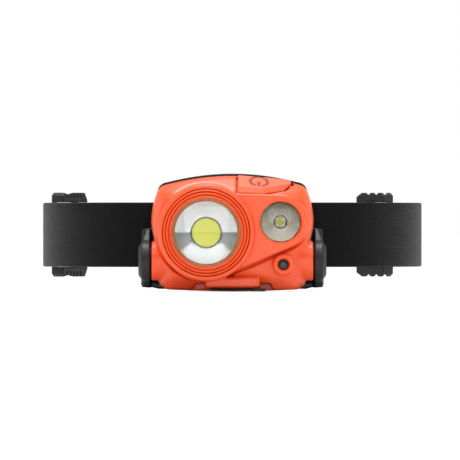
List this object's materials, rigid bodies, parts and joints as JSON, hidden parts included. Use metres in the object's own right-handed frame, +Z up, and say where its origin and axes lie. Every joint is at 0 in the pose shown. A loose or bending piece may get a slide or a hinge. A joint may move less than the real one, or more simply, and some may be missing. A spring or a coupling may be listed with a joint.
{
  "type": "headlamp",
  "caption": "Headlamp with an orange tilting body holding a flood and a spot light, a power button and a sensor, in a black yoke on an elastic headband with sliding adjusters.",
  "frame": {"origin": "under the middle of the bounding box, at the level of the lamp's lowest face", "axes": "+Z up as worn, -Y out of the lights, +Y towards the back of the head, +X to the side the spot light is on"},
  "size_m": [0.1782, 0.215, 0.0547],
  "materials": {
    "orange_shell": "satin moulded orange plastic",
    "orange_button": "soft-touch orange button cap",
    "black_plastic": "fine-textured black nylon",
    "black_rubber": "matt black elastomer",
    "clear_lens": "clear polycarbonate",
    "dark_window": "smoked clear plastic",
    "white_reflector": "glossy white reflector",
    "metallised_reflector": "vacuum-metallised reflector",
    "phosphor": "yellow phosphor coat",
    "aluminium": "plain aluminium",
    "circuit_board": "green solder resist",
    "battery_wrap": "foil pouch",
    "steel": "plated steel",
    "webbing": "woven black elastic"
  },
  "bodies": {
    "yoke_and_band": {"yoke": "black_plastic", "headband": "webbing", "pivot_pin_left": "black_plastic", "pivot_pin_right": "black_plastic", "friction_washer_left": "black_rubber", "friction_washer_right": "black_rubber"},
    "lamp": {"front_shell": "orange_shell", "rear_shell": "black_plastic", "shell_seal": "black_rubber", "flood_bezel_ring": "orange_shell", "flood_lens": "clear_lens", "flood_reflector": "white_reflector", "flood_led_board": "aluminium", "flood_led_phosphor": "phosphor", "spot_lens": "clear_lens", "spot_reflector": "metallised_reflector", "spot_led": "phosphor", "spot_led_board": "aluminium", "heat_sink": "aluminium", "main_board": "circuit_board", "battery_pack": "battery_wrap", "charge_socket": "steel", "tact_switch": "steel", "sensor_window": "dark_window", "sensor_module": "circuit_board", "shell_screw_1": "steel", "shell_screw_2": "steel", "shell_screw_3": "steel", "shell_screw_4": "steel"},
    "power_button": {"power_button": "orange_button"},
    "port_cover": {"port_cover": "black_rubber"},
    "adjuster_left": {"adjuster_left": "black_plastic", "band_end_left": "webbing"},
    "adjuster_right": {"adjuster_right": "black_plastic", "band_end_right": "webbing"}
  },
  "joints": [
    {"name": "lamp_tilt", "type": "hinge", "parent": "yoke_and_band", "child": "lamp", "pos_m": [0, -0.08582, 0.0141], "axis": [1, 0, 0], "range_deg": [0, 55]},
    {"name": "power_button_press", "type": "slide", "parent": "lamp", "child": "power_button", "axis": [-0.1045, 0.5122, -0.8525], "range_m": [0, 0.0006], "stiffness_N_per_m": 3000, "springref_m": -0.0001},
    {"name": "port_cover_open", "type": "hinge", "parent": "lamp", "child": "port_cover", "pos_m": [-0.0113, -0.0933, 0.00065], "axis": [0, 1, 0], "range_deg": [0, 105]},
    {"name": "adjuster_left_slide", "type": "hinge", "parent": "yoke_and_band", "child": "adjuster_left", "pos_m": [0, 0.01837, 0.0262], "axis": [0, 0, 1], "range_deg": [-12, 4]},
    {"name": "adjuster_right_slide", "type": "hinge", "parent": "yoke_and_band", "child": "adjuster_right", "pos_m": [0, 0.01837, 0.0262], "axis": [0, 0, 1], "range_deg": [-4, 12]}
  ]
}
